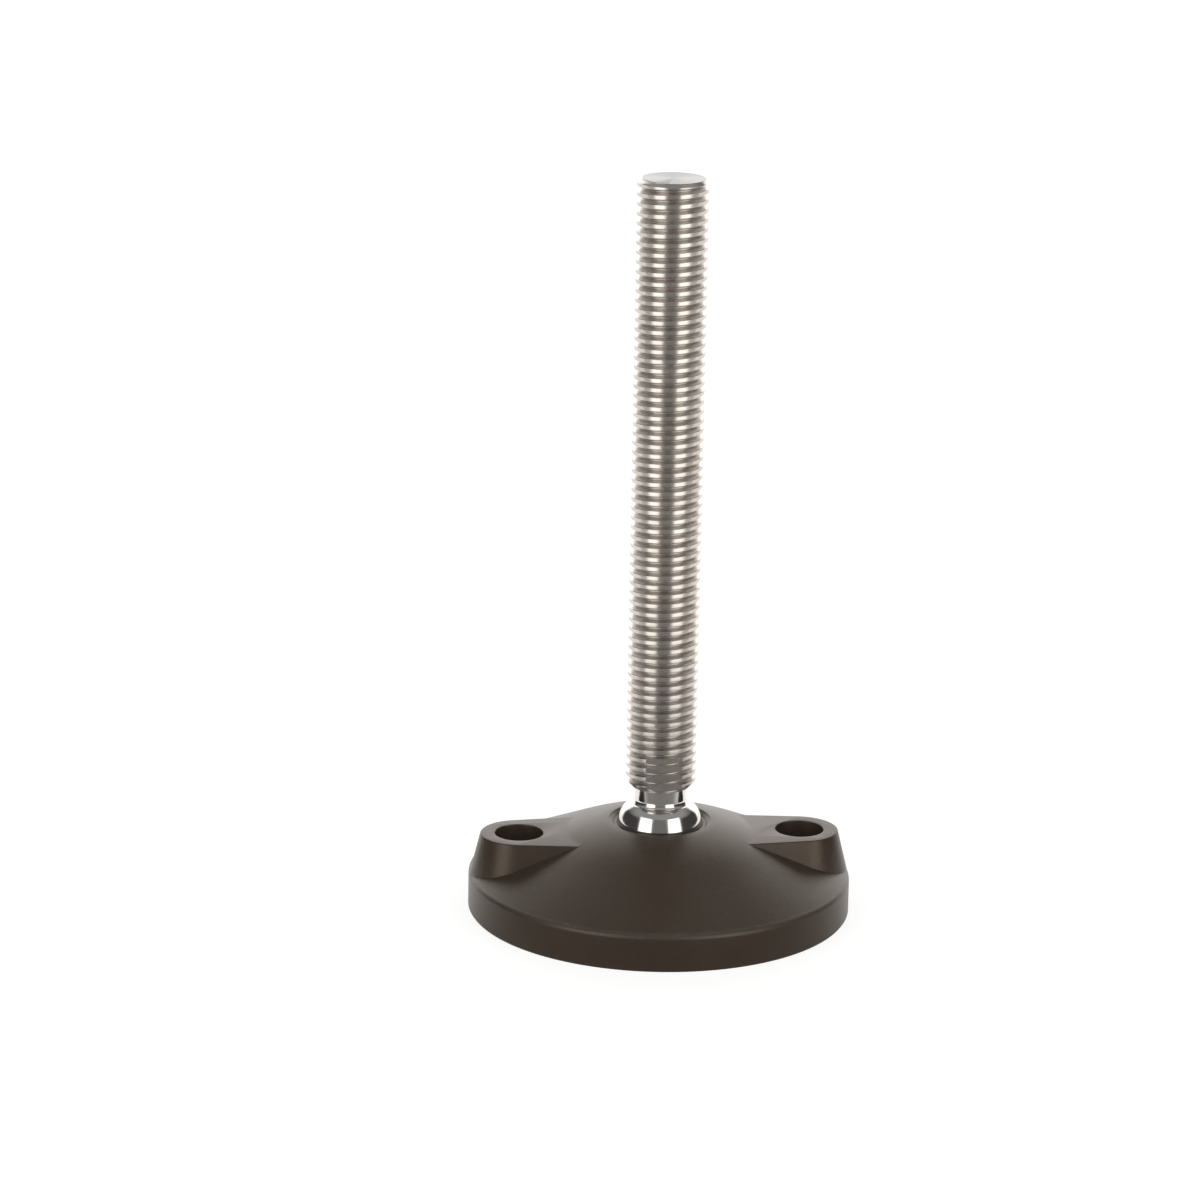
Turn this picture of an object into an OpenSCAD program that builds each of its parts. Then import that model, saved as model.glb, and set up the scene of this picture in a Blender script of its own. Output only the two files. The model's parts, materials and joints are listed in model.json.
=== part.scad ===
// Levelling foot with a ball joint and two bolt-down lugs
// Origin: centre of the underside. +Z up along the spindle, lugs along X. Millimetres.

/* [Base] */
// Diameter of the base where it meets the floor
base_d = 103; // [92:1:112]
// Height of the skirt, up to its rounded edge
skirt_h = 10.4; // [9.6:0.1:11]
// Draft of the skirt, in degrees
skirt_draft = 0.3; // [0:0.1:3]
// Radius of the skirt's rounded edge
skirt_round = 1.5; // [0.6:0.1:2]
// Height where the steep part of the cone turns into the flatter crown
crown_z = 21; // [20.4:0.1:21.4]
// Radius at that height
crown_r = 25.7; // [24:0.1:27]
// Height of the rim round the opening
rim_z = 24.4; // [24.2:0.1:24.8]

/* [Ball joint] */
// Diameter of the ball
ball_d = 23.5; // [22:0.1:24]
// Height of the ball's centre
ball_z = 21.5; // [21:0.1:21.8]
// Running clearance between the ball and its seat
ball_clearance = 0.08; // [0.05:0.01:0.1]
// Height of the snap lip above the ball's centre
lip_h = 2.3; // [2:0.1:2.5]
// Diameter of the opening at the rim
opening_d = 27.1; // [26.4:0.1:28]

/* [Lugs] */
// Distance between the two bolt holes
lug_spacing = 76; // [72:1:78]
// Diameter of the bolt holes
bolt_hole_d = 13; // [9:0.5:14]
// Height of the flat tops
lug_z = 21; // [20:0.1:21]
// Radius of the rounded outer end, at the flat top
lug_end_r = 10.4; // [9.6:0.1:10.6]
// Draft of the lug walls, in degrees
lug_draft = 14; // [4:0.5:14]
// Angle by which each flank spreads towards the cone, in degrees
lug_spread = 6.5; // [3:0.5:9]

/* [Underside] */
// Wall thickness of the moulding
wall = 3; // [2.5:0.1:3.6]
// Number of radial ribs
rib_count = 16; // [12:4:20]
// Thickness of a rib
rib_t = 2; // [1.6:0.1:2.4]
// How far the ribs end above the floor
rib_gap = 1; // [0.5:0.1:2]
// Middle radius of the ring rib
ring_r = 32; // [30:0.5:33]

/* [Spindle] */
// Major diameter of the thread, 3/4 inch
thread_d = 19.05; // [18.8:0.05:19.1]
// Length of the thread
thread_len = 165; // [60:5:250]
// Height of the lower end of the thread
thread_z = 34.2; // [34:0.1:36]
// Distance across the two wrench flats
flats_across = 16; // [15:0.5:17]
// Length of the wrench flats
flats_len = 10; // [8:0.5:14]
// Chamfer at the top end
top_chamfer = 0.9; // [0.5:0.1:1.5]
// Diameter of the neck under the thread
neck_d = 13.9; // [13:0.1:14.6]
// Extra diameter of the neck where it meets the ball
neck_flare = 0.5; // [0:0.1:0.8]

/* [Hidden] */
$fn = 96;
eps = 0.05;
base_r = base_d / 2;
ball_r = ball_d / 2;
seat_r = ball_r + ball_clearance;
lip_r = sqrt(seat_r * seat_r - lip_h * lip_h);
lip_z = ball_z + lip_h;
opening_r = opening_d / 2;
skirt_top_r = base_r - skirt_h * tan(skirt_draft);
lug_x = lug_spacing / 2;
lug_foot_z = skirt_h - skirt_round;
boss_r = 17.5;
boss_core_r = 8;
boss_core_h = 5.5;
bolt_boss_r = 10.2;
neck_low_r = (neck_d + neck_flare) / 2;
neck_fillet = 1.2;
thread_top = thread_z + thread_len;
lower_chamfer = (thread_d - neck_d) / 2;
joint_gap = 0.05;

// Points of an arc about [cx, cz], from angle a to angle b in n steps
function arc(cx, cz, r, a, b, n) =
    [for (i = [0:n]) let (t = a + (b - a) * i / n) [cx + r * cos(t), cz + r * sin(t)]];

// Height of the cone at radius r, below the crown
function cone_z(r) =
    skirt_h + (crown_z - skirt_h) * (skirt_top_r - r) / (skirt_top_r - crown_r);

// Outside of the moulding: skirt, rounded edge, cone, crown and rim
module base_envelope() {
    edge_r = skirt_top_r - skirt_round;
    rotate_extrude()
        polygon(concat(
            [[0, 0], [base_r, 0]],
            arc(edge_r, skirt_h - skirt_round, skirt_round, 0, 65, 6),
            [[crown_r, crown_z], [(crown_r + opening_r) / 2, rim_z - 1.1]],
            arc(opening_r + 0.6, rim_z - 0.6, 0.6, 75, 90, 2),
            [[0, rim_z]]
        ));
}

// Outline of a lug whose end has radius r: flanks tangent to the round end
function lug_outline(r) =
    let (
        reach = lug_x - 6,
        tx = lug_x + r * sin(lug_spread),
        ty = r * cos(lug_spread),
        inner_y = ty + reach * tan(lug_spread)
    )
    [[tx, ty], [tx - reach, inner_y], [tx - reach, -inner_y], [tx, -ty]];

// A lug: drafted round end and drafted flanks under one flat top
module lug() {
    foot_r = lug_end_r + (lug_z - lug_foot_z) * tan(lug_draft);
    translate([lug_x, 0, lug_foot_z])
        cylinder(h = lug_z - lug_foot_z, r1 = foot_r, r2 = lug_end_r);
    hull() {
        translate([0, 0, lug_foot_z])
            linear_extrude(eps)
                polygon(lug_outline(foot_r));
        translate([0, 0, lug_z - eps])
            linear_extrude(eps)
                polygon(lug_outline(lug_end_r));
    }
}

// Hollow under the cone, before the ribs are put back
module underside_hollow() {
    inner_r = base_r - wall;
    rotate_extrude()
        polygon([
            [boss_r, -1],
            [inner_r, -1],
            [inner_r - 0.5, cone_z(inner_r) - wall],
            [crown_r - 1, crown_z - wall - 0.4],
            [boss_r, crown_z - wall + 0.6]
        ]);
}

// What stays solid inside the hollow: radial ribs, a ring rib and the bolt bosses
module ribs() {
    for (i = [0:rib_count - 1])
        rotate([0, 0, i * 360 / rib_count])
            translate([boss_r - 2, -rib_t / 2, rib_gap])
                cube([base_r - boss_r, rib_t, rim_z]);
    translate([0, 0, rib_gap])
        difference() {
            cylinder(h = rim_z, r = ring_r + rib_t / 2);
            translate([0, 0, -1])
                cylinder(h = rim_z + 2, r = ring_r - rib_t / 2);
        }
    for (side = [-1, 1])
        translate([side * lug_x, 0, -1])
            cylinder(h = rim_z, r = bolt_boss_r);
}

// Seat of the ball, its snap lip and the chamfered opening above it
module ball_pocket() {
    translate([0, 0, ball_z])
        sphere(r = seat_r);
    rotate_extrude()
        polygon(concat(
            [[0, ball_z], [lip_r, lip_z], [lip_r + 0.8, lip_z - 0.05]],
            [[opening_r - 0.5, rim_z - 0.4], [opening_r - 0.2, rim_z - 0.15]],
            [[opening_r, rim_z + 0.1], [0, rim_z + 0.1]]
        ));
}

module foot_base() {
    color([0.21, 0.19, 0.17])
        difference() {
            union() {
                base_envelope();
                lug();
                mirror([1, 0, 0])
                    lug();
            }
            difference() {
                underside_hollow();
                ribs();
            }
            ball_pocket();
            translate([0, 0, -1])
                cylinder(h = boss_core_h + 1, r = boss_core_r);
            for (side = [-1, 1])
                translate([side * lug_x, 0, -1])
                    cylinder(h = lug_z + 2, d = bolt_hole_d);
        }
}

// The ball is a whole sphere, so that it turns in its seat about any axis
module ball() {
    color([0.80, 0.80, 0.79])
        translate([0, 0, ball_z])
            sphere(r = ball_r);
}

// The neck stands on the ball and flares into it
module neck() {
    top = thread_z - joint_gap;
    foot_h = sqrt(pow(ball_r + neck_fillet, 2) - pow(neck_low_r + neck_fillet, 2));
    foot_a = atan2(foot_h, neck_low_r + neck_fillet);
    color([0.78, 0.78, 0.77])
        difference() {
            rotate_extrude()
                polygon(concat(
                    [[0, ball_z + ball_r - 3]],
                    arc(neck_low_r + neck_fillet, ball_z + foot_h, neck_fillet, 180 + foot_a, 180, 8),
                    [[neck_d / 2, top], [0, top]]
                ));
            translate([0, 0, ball_z])
                sphere(r = ball_r + joint_gap);
        }
}

// Stud at the thread's major diameter, with end chamfers and two wrench flats
module threaded_spindle() {
    stud_r = thread_d / 2;
    color([0.66, 0.64, 0.62])
        difference() {
            rotate_extrude()
                polygon([
                    [0, thread_z],
                    [stud_r - lower_chamfer, thread_z],
                    [stud_r, thread_z + lower_chamfer],
                    [stud_r, thread_top - top_chamfer],
                    [stud_r - top_chamfer, thread_top],
                    [0, thread_top]
                ]);
            for (side = [0, 180])
                rotate([0, 0, side])
                    translate([-thread_d, flats_across / 2, thread_z - 1])
                        cube([2 * thread_d, thread_d, flats_len + 1]);
        }
}

foot_base();
ball();
neck();
threaded_spindle();
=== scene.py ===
import json
import math

import bmesh
import bpy
from mathutils import Matrix, Vector


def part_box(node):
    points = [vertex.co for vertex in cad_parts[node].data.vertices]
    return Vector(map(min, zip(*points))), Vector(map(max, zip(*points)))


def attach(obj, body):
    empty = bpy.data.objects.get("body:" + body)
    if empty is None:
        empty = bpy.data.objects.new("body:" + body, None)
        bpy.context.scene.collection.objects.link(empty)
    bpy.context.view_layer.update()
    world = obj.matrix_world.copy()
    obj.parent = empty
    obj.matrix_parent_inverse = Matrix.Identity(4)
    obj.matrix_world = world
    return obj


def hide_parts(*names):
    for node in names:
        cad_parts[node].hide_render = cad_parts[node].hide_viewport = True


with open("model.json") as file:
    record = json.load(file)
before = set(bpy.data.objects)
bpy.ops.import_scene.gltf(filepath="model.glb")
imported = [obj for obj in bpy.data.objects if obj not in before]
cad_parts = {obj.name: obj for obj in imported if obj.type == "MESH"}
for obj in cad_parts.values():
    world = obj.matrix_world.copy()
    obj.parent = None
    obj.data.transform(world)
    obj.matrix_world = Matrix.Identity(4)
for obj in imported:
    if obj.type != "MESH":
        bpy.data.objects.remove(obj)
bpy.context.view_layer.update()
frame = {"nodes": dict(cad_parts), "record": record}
mm = 0.001
mounts = {mount["name"]: mount for mount in frame["record"]["mounts"]}
print("frame loaded:", sorted(frame["nodes"]))


# ---- helpers for meshes

def span(node):
    low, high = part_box(node)
    return [value / mm for value in low], [value / mm for value in high]


def arc(cx, cz, radius, start, end, steps):
    # points of a round stretch, angles in degrees from +X
    points = []
    for i in range(steps + 1):
        turn = math.radians(start + (end - start) * i / steps)
        points.append((cx + radius * math.cos(turn), cz + radius * math.sin(turn)))
    return points


def addObject(name, verts, edges=(), faces=()):
    mesh = bpy.data.meshes.new(name)
    mesh.from_pydata([[value * mm for value in vert] for vert in verts], edges, faces)
    mesh.update()
    piece = bpy.data.objects.new(name, mesh)
    bpy.context.collection.objects.link(piece)
    return piece


def turned(name, profile, steps):
    # a profile of (radius, height), from top to bottom, swept about Z
    verts = [(r, 0, z) for r, z in profile]
    piece = addObject(name, verts, edges=[(i, i + 1) for i in range(len(verts) - 1)])
    screw = piece.modifiers.new("turn", "SCREW")
    screw.steps = screw.render_steps = steps
    screw.use_merge_vertices = True
    screw.merge_threshold = 0.002 * mm
    screw.use_smooth_shade = True
    return piece


def applyStack(piece):
    depsgraph = bpy.context.evaluated_depsgraph_get()
    finished = bpy.data.meshes.new_from_object(piece.evaluated_get(depsgraph))
    piece.modifiers.clear()
    piece.data = finished
    return piece


def outwards(piece):
    work = bmesh.new()
    work.from_mesh(piece.data)
    bmesh.ops.remove_doubles(work, verts=work.verts, dist=0.001 * mm)
    bmesh.ops.recalc_face_normals(work, faces=work.faces)
    work.to_mesh(piece.data)
    work.free()
    return piece


def join(piece, tool, operation):
    # boolean of a piece with a helper, which is then removed
    step = piece.modifiers.new(operation.lower(), "BOOLEAN")
    step.operation = operation
    step.solver = "EXACT"
    step.object = tool
    applyStack(piece)
    bpy.data.objects.remove(tool)
    return piece


def smoothByAngle(piece, degrees):
    mesh = piece.data
    mesh.shade_smooth()
    mesh.set_sharp_from_angle(angle=math.radians(degrees))


# ---- helpers for materials

def plug(tree, socket, value):
    if isinstance(value, Wire):
        tree.links.new(value.out, socket)
    else:
        socket.default_value = value


class Wire:
    # an output socket that can be added, multiplied and compared

    def __init__(self, tree, out):
        self.tree = tree
        self.out = out

    def calc(self, operation, first, second=0.0):
        node = self.tree.nodes.new("ShaderNodeMath")
        node.operation = operation
        plug(self.tree, node.inputs[0], first)
        plug(self.tree, node.inputs[1], second)
        return Wire(self.tree, node.outputs[0])

    def __add__(self, other):
        return self.calc("ADD", self, other)

    def __radd__(self, other):
        return self.calc("ADD", other, self)

    def __sub__(self, other):
        return self.calc("SUBTRACT", self, other)

    def __rsub__(self, other):
        return self.calc("SUBTRACT", other, self)

    def __mul__(self, other):
        return self.calc("MULTIPLY", self, other)

    def __rmul__(self, other):
        return self.calc("MULTIPLY", other, self)

    def __truediv__(self, other):
        return self.calc("DIVIDE", self, other)

    def power(self, other):
        return self.calc("POWER", self, other)

    def sine(self):
        return self.calc("SINE", self)

    def absolute(self):
        return self.calc("ABSOLUTE", self)

    def upTo(self, other):
        return self.calc("MINIMUM", self, other)

    def atLeast(self, other):
        return self.calc("MAXIMUM", self, other)

    def between(self, low, high):
        # 0 below low, 1 above high, a straight ramp in the middle
        return ((self - low) / (high - low)).atLeast(0.0).upTo(1.0)


class Finish:
    # a node material with a short way to add its nodes

    def __init__(self, name):
        self.material = bpy.data.materials.new(name)
        self.material.use_nodes = True
        self.tree = self.material.node_tree
        self.shader = self.tree.nodes["Principled BSDF"]
        self.place = self.add("TexCoord", out="Object")
        split = self.tree.nodes.new("ShaderNodeSeparateXYZ")
        self.tree.links.new(self.place.out, split.inputs[0])
        self.x, self.y, self.z = (Wire(self.tree, out) / mm for out in split.outputs)
        self.radius = (self.x * self.x + self.y * self.y).power(0.5)

    def add(self, kind, inputs=None, out=0):
        node = self.tree.nodes.new("ShaderNode" + kind)
        for key, value in (inputs or {}).items():
            plug(self.tree, node.inputs[key], value)
        return Wire(self.tree, node.outputs[out])

    def noise(self, scale, detail=3.0, rough=0.5, stretch=(1, 1, 1)):
        # stretch makes the grain longer where it is small; scale is in waves per metre
        where = self.add("Mapping", {"Vector": self.place, "Scale": stretch})
        settings = {"Vector": where, "Scale": scale, "Detail": detail, "Roughness": rough}
        return self.add("TexNoise", settings, "Fac")

    def blend(self, amount, first, second):
        node = self.tree.nodes.new("ShaderNodeMix")
        node.data_type = "RGBA"
        plug(self.tree, node.inputs[0], amount)
        plug(self.tree, node.inputs[6], first if isinstance(first, Wire) else (*first, 1.0))
        plug(self.tree, node.inputs[7], second if isinstance(second, Wire) else (*second, 1.0))
        return Wire(self.tree, node.outputs[2])

    def bump(self, height, distance, strength=1.0, after=None):
        inputs = {"Height": height, "Distance": distance, "Strength": strength}
        if after:
            inputs["Normal"] = after
        return self.add("Bump", inputs)

    def set(self, **values):
        for key, value in values.items():
            socket = self.shader.inputs[socketNames[key]]
            if key in ("colour", "glow", "specularTint") and not isinstance(value, Wire):
                value = (*value, 1.0)
            plug(self.tree, socket, value)


socketNames = {
    "colour": "Base Color", "metallic": "Metallic", "roughness": "Roughness",
    "normal": "Normal", "specular": "Specular IOR Level", "glow": "Emission Color",
    "specularTint": "Specular Tint",
    "anisotropy": "Anisotropic", "anisotropyTurn": "Anisotropic Rotation",
}


# ---- camera, floor and lights

view = {
    "azimuth": -5.285,      # degrees, towards -X from the front
    "elevation": 16.226,
    "roll": 0.966,
    "distance": 1134.0,
    "lens": 128.1,
    "aim": (-17.04, 1.58, 85.45),
}


def direction(azimuth, elevation):
    # unit vector from the object towards a place; azimuth 0 is the front, -Y
    az, el = math.radians(azimuth), math.radians(elevation)
    return Vector((math.sin(az) * math.cos(el), -math.cos(az) * math.cos(el), math.sin(el)))


def makeCamera():
    data = bpy.data.cameras.new("camera")
    data.lens = view["lens"]
    data.sensor_width = 36.0
    data.clip_start = 0.05
    data.clip_end = 30.0
    camera = bpy.data.objects.new("camera", data)
    bpy.context.collection.objects.link(camera)
    back = direction(view["azimuth"], view["elevation"])
    right = Vector((0, 0, 1)).cross(back).normalized()
    up = back.cross(right)
    roll = math.radians(view["roll"])
    tilted = right * math.cos(roll) + up * math.sin(roll)
    upright = up * math.cos(roll) - right * math.sin(roll)
    place = Vector(view["aim"]) * mm + back * view["distance"] * mm
    turn = Matrix((tilted, upright, back)).transposed().to_4x4()
    camera.matrix_world = Matrix.Translation(place) @ turn
    bpy.context.scene.camera = camera


room = {
    "bandFrom": 12.0,            # the two light strips, as turns of an upright surface, in degrees
    "bandTo": 30.0,
    "strips": 2.2,
    "stripsTop": (0.68, 0.80),
    "gap": 0.17,                 # between the strips
    "side": 0.05,
    "top": 0.30,
    "back": 1.7,
    "backFrom": (0.62, 0.74),
    "topFrom": (0.45, 0.75),
    "seen": 1.0,
    "colour": (1.0, 0.98, 0.95),
}
floorLook = {
    "size": 9000.0,
    "dark": (0.10, 0.095, 0.09),     # base colour in reflections
    "pale": ((0.30, 0.30, 0.30), (0.32, 0.32, 0.32)),
    "brightest": (2.0, 1.96, 1.9),   # glow in reflections at level 2
    "seen": 0.84,                # glow towards the camera
    "near": 0.14,                # and in reflections: beside the foot
    "gap": 0.16,
    "strips": 1.5,
    "side": 0.50,
    "back": 1.0,
    "stripsFrom": (135.0, 200.0),
    "backFrom": (-60.0, 25.0),
}


def lightBands(lateral, toward, reach):
    # how much of each strip, and of the gap between them, lies in a direction
    turn = lateral.absolute() / (toward + reach).atLeast(0.001)
    inner = math.tan(math.radians(room["bandFrom"]))
    outer = math.tan(math.radians(room["bandTo"]))
    past = turn.between(inner - 0.02, inner + 0.02)
    beyond = turn.between(outer - 0.04, outer + 0.04)
    return past * (1 - beyond), 1 - past


def makeFloor():
    half = floorLook["size"] / 2
    corners = [(-half, -half, 0), (half, -half, 0), (half, half, 0), (-half, half, 0)]
    floor = addObject("floor", corners, faces=[(0, 1, 2, 3)])
    front = direction(view["azimuth"], 0)
    look = Finish("paleFloor")
    seen = look.add("LightPath", out="Is Camera Ray")
    toward = look.x * front.x + look.y * front.y
    lateral = look.x * front.y - look.y * front.x
    spread = look.radius.atLeast(1.0)
    strips, gap = lightBands(lateral / spread, toward / spread, 1.0)
    away = look.radius.between(*floorLook["stripsFrom"])
    side = floorLook["side"]
    level = side + strips * (floorLook["strips"] - side) - gap * (side - floorLook["gap"])
    level = floorLook["near"] + away * (level - floorLook["near"])
    back = (0 - toward).between(*floorLook["backFrom"])
    level = level + back * (floorLook["back"] - level)
    mottle = look.noise(3.0, 2.0)
    pale = look.blend(mottle, *floorLook["pale"])
    # halved, because a mix stops at 1
    glow = look.blend(level * 0.5, (0, 0, 0), floorLook["brightest"])
    look.set(colour=look.blend(seen, floorLook["dark"], pale), roughness=0.9, specular=0.2,
             glow=look.blend(seen, glow, (floorLook["seen"],) * 3))
    look.shader.inputs["Emission Strength"].default_value = 1.0
    look.material.cycles.emission_sampling = "NONE"
    floor.data.materials.append(look.material)


def makeRoom():
    world = bpy.data.worlds.new("room")
    bpy.context.scene.world = world
    world.use_nodes = True
    tree = world.node_tree
    split = tree.nodes.new("ShaderNodeSeparateXYZ")
    tree.links.new(tree.nodes.new("ShaderNodeTexCoord").outputs["Generated"], split.inputs[0])
    x, y, z = (Wire(tree, out) for out in split.outputs)
    front = direction(view["azimuth"], 0)
    toward = x * front.x + y * front.y
    lateral = x * front.y - y * front.x
    strips, gap = lightBands(lateral, toward, math.cos(math.radians(view["elevation"])))
    below = 1 - z.between(*room["stripsTop"])
    strips, gap = strips * below, gap * below
    level = room["side"] + z.between(*room["topFrom"]) * (room["top"] - room["side"])
    level = level + gap * (room["gap"] - level)
    back = (0 - toward).between(*room["backFrom"])
    level = level + back * (room["back"] - level)
    level = level + strips * (1 - back) * (room["strips"] - level)
    seen = Wire(tree, tree.nodes.new("ShaderNodeLightPath").outputs["Is Camera Ray"])
    sky = tree.nodes["Background"]
    sky.inputs["Color"].default_value = (*room["colour"], 1.0)
    plug(tree, sky.inputs["Strength"], level * (1 - seen) + seen * room["seen"])


bpy.context.scene.view_settings.view_transform = "Standard"
makeCamera()
makeFloor()
makeRoom()
print("camera, floor and lights ready")


# ---- base moulding

baseHigh = span("foot_base")[1]
ballLow, ballHigh = span("ball")
ballRadius = (ballHigh[2] - ballLow[2]) / 2
ballHeight = (ballHigh[2] + ballLow[2]) / 2
boltHoles = mounts["bolt_holes"]

base = {
    "radius": baseHigh[0],
    "rimHeight": baseHigh[2],
    "skirtHeight": 10.4,
    "skirtDraft": 0.3,
    "skirtRound": 1.5,
    "crownRadius": 25.7,         # where the cone passes the height of the lug tops
    "topSlope": 0.245,           # slope of the crown beside the opening
    "lowSlope": 0.445,           # slope of the cone
    "wall": 3.0,
    "openingRadius": 13.55,
    "openingRound": 0.25,
    "lipHeight": 1.9,
    "seatGap": 0.08,
    "steps": 160,
}
lug = {
    "reach": boltHoles["dims"]["spacing_x_mm"] / 2,
    "hole": boltHoles["dims"]["hole_r_mm"],
    "top": boltHoles["pos_m"][2] / mm,
    "endRadius": 10.4,
    "draft": 14.0,
    "spread": 6.5,
    "edge": 0.35,
}
ribs = {"count": 16, "thick": 2.0, "gap": 1.0, "ring": 32.0, "boss": 17.5, "boltBoss": 10.2, "turn": 0.37}


def slopeAt(r):
    share = min(max((r - 14.0) / 18.0, 0.0), 1.0)
    share = share * share * (3 - 2 * share)
    return base["topSlope"] + (base["lowSlope"] - base["topSlope"]) * share


def coneHeight(r):
    # follows the slope outwards or inwards from the crown radius
    steps = 40
    stride = (r - base["crownRadius"]) / steps
    height = lug["top"]
    for i in range(steps):
        height -= slopeAt(base["crownRadius"] + stride * (i + 0.5)) * stride
    return height


def skirtRadius(z):
    return base["radius"] - z * math.tan(math.radians(base["skirtDraft"]))


def outerProfile():
    rounding = base["skirtRound"]
    edgeRadius = skirtRadius(base["skirtHeight"]) - rounding
    coneAngle = math.degrees(math.atan(base["lowSlope"]))
    edgeHeight = coneHeight(edgeRadius + rounding * math.sin(math.radians(coneAngle)))
    edgeHeight -= rounding * math.cos(math.radians(coneAngle))
    points = [(0, base["rimHeight"]), (14.0, base["rimHeight"])]
    for i in range(1, 22):
        r = 14.0 + (edgeRadius - 14.0) * i / 21
        points.append((r, min(coneHeight(r), base["rimHeight"])))
    points += arc(edgeRadius, edgeHeight, rounding, 90 - coneAngle, base["skirtDraft"], 8)
    points += [(base["radius"] - 0.02, 0.4), (base["radius"] - 0.3, 0.0), (0, 0)]
    return points


def hollowProfile():
    inner = base["radius"] - base["wall"]
    points = [(ribs["boss"], coneHeight(ribs["boss"]) - base["wall"])]
    for i in range(1, 9):
        r = ribs["boss"] + (inner - 0.8 - ribs["boss"]) * i / 8
        points.append((r, coneHeight(r) - base["wall"] * 1.1))
    points += [(inner, coneHeight(inner) - base["wall"] - 1.2), (inner, -1), (ribs["boss"], -1)]
    return points + points[:1]


def lugOutline(radius, steps=28):
    spread = lug["spread"]
    points = [(lug["reach"] + x, y) for x, y in arc(0, 0, radius, -90 + spread, 90 - spread, steps)]
    tx, ty = points[-1]
    inner = 10.0
    wide = ty + (tx - inner) * math.tan(math.radians(spread))
    return points + [(inner, wide), (inner, -wide)]


def makeLug(side):
    foot = base["skirtHeight"] - 1.6
    tan = math.tan(math.radians(lug["draft"]))
    edge = lug["edge"]
    rows = [(foot, 0.0)]
    for x, z in arc(0, 0, edge, lug["draft"], 90, 5):
        rows.append((lug["top"] - edge + z, edge - x))
    verts, faces = [], []
    for z, inset in rows:
        radius = lug["endRadius"] + (lug["top"] - z) * tan - inset
        verts += [(side * x, y, z) for x, y in lugOutline(radius)]
    count = len(verts) // len(rows)
    for row in range(len(rows) - 1):
        for i in range(count):
            j = (i + 1) % count
            a, b = row * count, (row + 1) * count
            faces.append((a + i, a + j, b + j, b + i))
    faces.append(tuple(range(count))[::-1])
    faces.append(tuple(range(count * (len(rows) - 1), count * len(rows))))
    piece = addObject("lug", verts, faces=faces)
    return outwards(piece)


def holeCutter(side):
    edge = 0.3
    wide = lug["hole"] + edge
    profile = [(0, lug["top"] + 2), (wide, lug["top"] + 2), (wide, lug["top"] + 0.001)]
    profile += arc(wide, lug["top"] - edge, edge, 90, 180, 5)
    profile += [(lug["hole"], -2), (0, -2)]
    cutter = applyStack(turned("holeCutter", profile, 96))
    cutter.data.transform(Matrix.Translation((side * lug["reach"] * mm, 0, 0)))
    return outwards(cutter)


def pocketCutter():
    seat = ballRadius + base["seatGap"]
    lipHeight = base["lipHeight"]
    lipRadius = math.sqrt(seat ** 2 - lipHeight ** 2)
    lipAngle = math.degrees(math.atan2(lipHeight, lipRadius))
    wallRadius, rounding = base["openingRadius"], base["openingRound"]
    shelf = base["rimHeight"] - rounding
    profile = [(0, base["rimHeight"] + 2), (wallRadius + rounding, base["rimHeight"] + 2)]
    profile += arc(wallRadius + rounding, shelf, rounding, 90, 180, 8)
    profile += [(12.75, shelf - 0.35), (12.5, shelf - 0.7), (12.45, ballHeight + lipHeight + 0.05)]
    profile += arc(0, ballHeight, seat, lipAngle, -90, 30)
    profile[-1] = (0, ballHeight - seat)
    return outwards(applyStack(turned("pocketCutter", profile, base["steps"])))


def box(name, low, high):
    xs, ys, zs = zip(low, high)
    verts = [(x, y, z) for z in zs for y in ys for x in xs]
    faces = [(0, 2, 3, 1), (4, 5, 7, 6), (0, 1, 5, 4), (2, 6, 7, 3), (0, 4, 6, 2), (1, 3, 7, 5)]
    return addObject(name, verts, faces=faces)


def makeHollow():
    # the space under the cone, less the ring rib, the bolt bosses and the ribs; it is turned
    # a little so that none of its edges lies on an edge of the shell
    hollow = outwards(applyStack(turned("hollow", hollowProfile(), base["steps"])))
    hollow.data.transform(Matrix.Rotation(math.radians(ribs["turn"]), 4, "Z"))
    above, half = 28, ribs["thick"] / 2
    near, far = ribs["ring"] - half, ribs["ring"] + half
    ringProfile = [(near, above), (far, above), (far, ribs["gap"]), (near, ribs["gap"]), (near, above)]
    join(hollow, outwards(applyStack(turned("ring", ringProfile, base["steps"]))), "DIFFERENCE")
    for side in (-1, 1):
        bossProfile = [(0, above), (ribs["boltBoss"], above), (ribs["boltBoss"], -2), (0, -2)]
        boss = applyStack(turned("boss", bossProfile, 64))
        boss.data.transform(Matrix.Translation((side * lug["reach"] * mm, 0, 0)))
        join(hollow, outwards(boss), "DIFFERENCE")
    for i in range(ribs["count"] // 2):
        rib = box("rib", (-base["radius"], -ribs["thick"] / 2, ribs["gap"]),
                  (base["radius"], ribs["thick"] / 2, base["rimHeight"] + 3))
        rib.data.transform(Matrix.Rotation(math.tau * i / ribs["count"], 4, "Z"))
        join(hollow, rib, "DIFFERENCE")
    return hollow


def makeBase():
    body = outwards(applyStack(turned("footBaseShell", outerProfile(), base["steps"])))
    for side in (-1, 1):
        join(body, makeLug(side), "UNION")
    join(body, makeHollow(), "DIFFERENCE")
    join(body, pocketCutter(), "DIFFERENCE")
    for side in (-1, 1):
        join(body, holeCutter(side), "DIFFERENCE")
    core = applyStack(turned("core", [(0, 5.5), (7.7, 5.5), (8, 5.2), (8, -2), (0, -2)], 64))
    join(body, outwards(core), "DIFFERENCE")
    smoothByAngle(body, 32)
    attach(body, "base")
    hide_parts("foot_base")
    return body


footBase = makeBase()
print("base moulding:", len(footBase.data.polygons), "faces")


# ---- polished ball and neck

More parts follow.
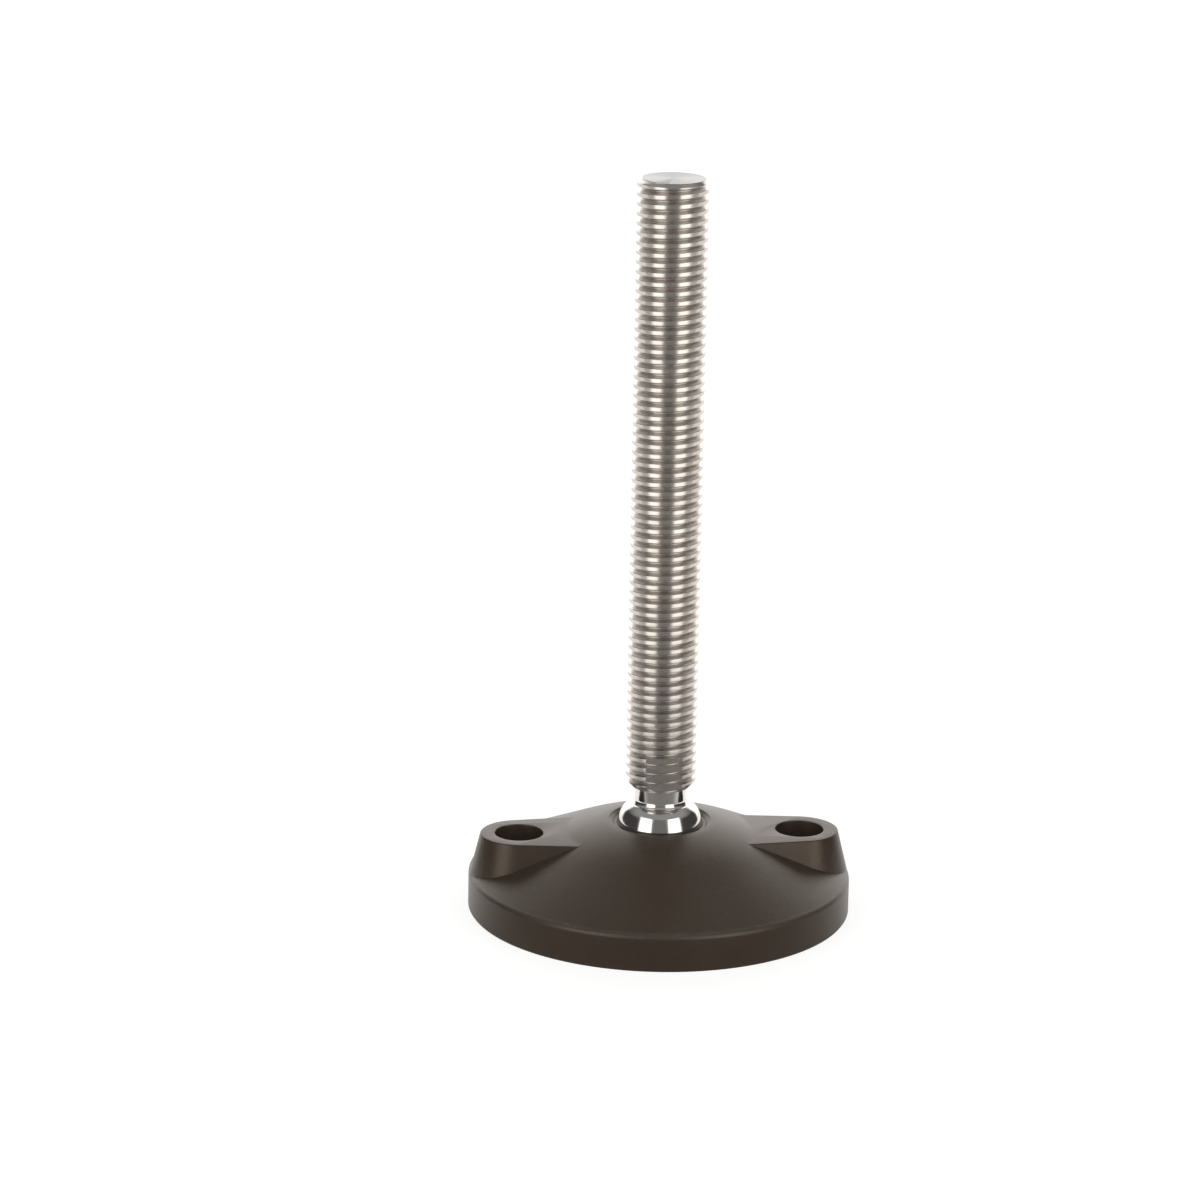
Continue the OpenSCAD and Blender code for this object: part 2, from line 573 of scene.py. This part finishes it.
neckHigh = span("neck")[1]
stud = {
    "neckRadius": 6.95,
    "shoulder": 30.0,            # where the ball starts to flatten, degrees above its middle
    "meet": (7.75, 29.35),       # where the flattened shoulder meets the fillet
    "meetSlope": 60.0,           # the surface's normal there, degrees above level
    "steps": 128,
}


def shoulderCurve(steps=12):
    # from the fillet out to the ball, tangent to both
    start, end = math.radians(stud["shoulder"]), math.radians(stud["meetSlope"])
    outer = (ballRadius * math.cos(start), ballHeight + ballRadius * math.sin(start))
    inner = stud["meet"]
    # where the two tangents cross
    dr, dz = outer[0] - inner[0], inner[1] - outer[1]
    reach = (dz * math.sin(end) - dr * math.cos(end)) / math.sin(end - start)
    bend = (outer[0] - reach * math.sin(start), outer[1] + reach * math.cos(start))
    points = []
    for i in range(steps + 1):
        t = i / steps
        weights = ((1 - t) ** 2, 2 * t * (1 - t), t * t)
        corners = list(zip(weights, (inner, bend, outer)))
        points.append(tuple(sum(share * corner[k] for share, corner in corners) for k in (0, 1)))
    return points


def makeBall():
    inner = stud["meet"]
    profile = [(0, inner[1] - 0.6), (inner[0] - 0.6, inner[1] - 0.5)]
    profile += shoulderCurve()
    profile += arc(0, ballHeight, ballRadius, stud["shoulder"], -90, 48)[1:]
    profile[-1] = (0, ballHeight - ballRadius)
    ball = turned("ballEnd", profile, stud["steps"])
    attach(ball, "neck")
    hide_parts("ball")
    return ball


def makeNeck():
    radius, slope = stud["neckRadius"], stud["meetSlope"]
    share = math.cos(math.radians(slope))
    fillet = (stud["meet"][0] - radius) / (1 - share)
    height = stud["meet"][1] + fillet * math.sin(math.radians(slope))
    profile = [(0, neckHigh[2]), (radius - 0.15, neckHigh[2]), (radius, neckHigh[2] - 0.15)]
    # rings along the straight wall keep its shading level
    profile += [(radius, neckHigh[2] - 0.18), (radius, neckHigh[2] - 0.25), (radius, height + 0.3)]
    profile += arc(radius + fillet, height, fillet, 180, 180 + slope, 14)
    profile.append((0, profile[-1][1] - 0.3))
    neck = turned("neckCollar", profile, stud["steps"])
    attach(neck, "neck")
    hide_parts("neck")
    return neck


ballEnd = makeBall()
neckCollar = makeNeck()
print("ball and neck ready")


# ---- threaded spindle

spindleLow, spindleHigh = span("threaded_spindle")
thread = {
    "pitch": 2.54,
    "crest": 9.4,
    "root": 7.9,
    "phase": 1.03,
    "steps": 72,
    "top": spindleHigh[2],
    "bottom": spindleLow[2],
    "topChamfer": 0.9,
    "lowChamfer": (1.6, 1.8),    # across and along the axis
    "flats": 8.0,                # from the axis to a wrench flat
    "flatsLength": 10.0,
}


def threadProfile():
    # half of one groove, root to crest, then mirrored
    root, crest, half = thread["root"], thread["crest"], thread["pitch"] / 2
    rise = [(0.0, root), (0.12, root + 0.03), (0.23, root + 0.14), (half - 0.58, crest - 0.10),
            (half - 0.48, crest - 0.015)]
    points = rise + [(half, crest)]
    points += [(thread["pitch"] - z, r) for z, r in reversed(rise)]
    return points


def makeSpindle():
    pitch = thread["pitch"]
    turns = int((thread["top"] - thread["bottom"]) / pitch) + 5
    start = thread["bottom"] + thread["phase"] - 3 * pitch
    verts = [(r, 0, start + z) for z, r in threadProfile()]
    spindle = addObject("threadedStud", verts, edges=[(i, i + 1) for i in range(len(verts) - 1)])
    screw = spindle.modifiers.new("helix", "SCREW")
    screw.steps = screw.render_steps = thread["steps"]
    screw.iterations = turns
    screw.screw_offset = pitch * mm
    screw.use_merge_vertices = True
    screw.merge_threshold = 0.002 * mm
    applyStack(spindle)
    work = bmesh.new()
    work.from_mesh(spindle.data)
    bmesh.ops.remove_doubles(work, verts=work.verts, dist=0.002 * mm)
    closeEnds(work)
    bmesh.ops.recalc_face_normals(work, faces=work.faces)
    work.to_mesh(spindle.data)
    work.free()

    # the helix is cut by a plain blank, which already has its chamfers and its wrench flats
    top, bottom, wide = thread["top"], thread["bottom"], thread["crest"] + 0.02
    chamfer, (across, along) = thread["topChamfer"], thread["lowChamfer"]
    envelope = [(0, top), (thread["crest"] - chamfer, top), (wide, top - chamfer - 0.02),
                (wide, bottom + along), (wide - across, bottom), (0, bottom)]
    blank = outwards(applyStack(turned("blank", envelope, 144)))
    for side in (-1, 1):
        near, far = sorted((side * thread["flats"], side * 12.0))
        flat = box("flat", (-12, near, bottom - 1), (12, far, bottom + thread["flatsLength"]))
        join(blank, flat, "DIFFERENCE")
    join(spindle, blank, "INTERSECT")
    smoothByAngle(spindle, 28)
    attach(spindle, "spindle")
    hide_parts("threaded_spindle")
    return spindle


def closeEnds(work):
    # each end of the helix is one open loop, closed by a fan to the axis
    loose = [edge for edge in work.edges if edge.is_boundary]
    for group in loops(loose):
        heights = [vert.co.z for edge in group for vert in edge.verts]
        low = sum(heights) / len(heights) < 0.1
        tip = min(heights) - 2 * mm if low else max(heights) + 2 * mm
        centre = work.verts.new((0, 0, tip))
        for edge in group:
            work.faces.new((edge.verts[0], edge.verts[1], centre))


def loops(edges):
    left = set(edges)
    groups = []
    while left:
        front = [left.pop()]
        group = list(front)
        while front:
            edge = front.pop()
            for vert in edge.verts:
                for other in vert.link_edges:
                    if other in left:
                        left.discard(other)
                        front.append(other)
                        group.append(other)
        groups.append(group)
    return groups


spindle = makeSpindle()
print("spindle:", len(spindle.data.polygons), "faces")


# ---- materials

plastic = {
    "dark": (0.033, 0.023, 0.016),
    "light": (0.062, 0.047, 0.036),
    # for the scuff marks, and also a painted highlight along the whole skirt edge
    "scuff": (0.16, 0.15, 0.14),
    "roughness": 0.24,
}


def blackPlastic():
    look = Finish("glassFilledPlastic")
    grain = look.noise(1900.0, 4.0, 0.65)
    cloud = look.noise(70.0, 3.0)
    fibre = look.noise(500.0, 2.0, 0.5, (1, 1, 4))
    tone = look.blend(cloud * 0.5 + fibre * 0.25 + grain * 0.25, plastic["dark"], plastic["light"])
    # the skirt's rounded top edge: a lighter band there is a painted highlight, the noise marks in it are
    # scuffs
    edge = look.radius.between(49.6, 50.4) * look.z.between(8.7, 9.5) * (1 - look.z.between(10.2, 10.9))
    marks = look.noise(140.0, 5.0, 0.7, (1, 1, 3)).between(0.60, 0.66)
    scuffs = edge * marks
    # the whole edge band is lightened a little as a painted highlight, the scuff marks more strongly as
    # wear
    tone = look.blend(edge * (0.10 + cloud * 0.16) + scuffs * 0.5, tone, plastic["scuff"])
    fine = look.bump(grain, 0.06 * mm, 0.9)
    look.set(colour=tone, specular=0.5, specularTint=(1.0, 0.84, 0.70),
             roughness=plastic["roughness"] + cloud * 0.08 + grain * 0.10 + scuffs * 0.15,
             normal=look.bump(fibre, 0.02 * mm, 0.5, fine))
    return look.material


def polishedSteel():
    look = Finish("polishedSteel")
    lines = look.noise(50.0, 2.0, 0.5, (1, 1, 60))
    smear = look.noise(120.0, 3.0)
    tone = look.blend(smear, (0.74, 0.72, 0.70), (0.82, 0.81, 0.80))
    look.set(colour=tone, metallic=1.0, roughness=0.07 + lines * 0.05 + smear * 0.05,
             normal=look.bump(lines, 0.003 * mm, 0.5))
    return look.material


satin = {
    "crest": (0.70, 0.665, 0.63),
    "worn": (0.60, 0.565, 0.53),
    "root": (0.22, 0.19, 0.165),
    # darker colour of the spindle's top face, a painted shade
    "face": (0.20, 0.198, 0.195),
    "roughness": 0.19,
}


def satinSteel():
    look = Finish("satinSteel")
    lines = look.noise(30.0, 4.0, 0.65, (1, 1, 70))
    patch = look.noise(160.0, 4.0, 0.6, (1, 1, 3))
    deep = 1 - look.radius.between(8.1, 9.0)
    side = 1 - look.z.between(thread["top"] - 0.12, thread["top"] - 0.04)
    tone = look.blend(patch.between(0.35, 0.7), satin["crest"], satin["worn"])
    # darker and rougher in patches in the thread roots, below the top face
    tone = look.blend(deep * side * (0.15 + patch * 0.3), tone, satin["root"])
    # the top face takes the darker colour: painted shade against the bright light from above and behind
    tone = look.blend(side, satin["face"], tone)
    rings = (look.radius * 9.0 + patch * 2.0).sine()
    along = look.bump(lines, 0.03 * mm, 0.7)
    look.set(colour=tone, metallic=1.0,
             roughness=satin["roughness"] + lines * 0.12 + deep * side * 0.15,
             normal=look.bump(rings * (1 - side), 0.006 * mm, 0.5, along),
             anisotropy=0.6, anisotropyTurn=0.25)
    return look.material


def dress(piece, material):
    piece.data.materials.clear()
    piece.data.materials.append(material)


dress(footBase, blackPlastic())
steel = polishedSteel()
dress(ballEnd, steel)
dress(neckCollar, steel)
dress(spindle, satinSteel())
print("materials ready")
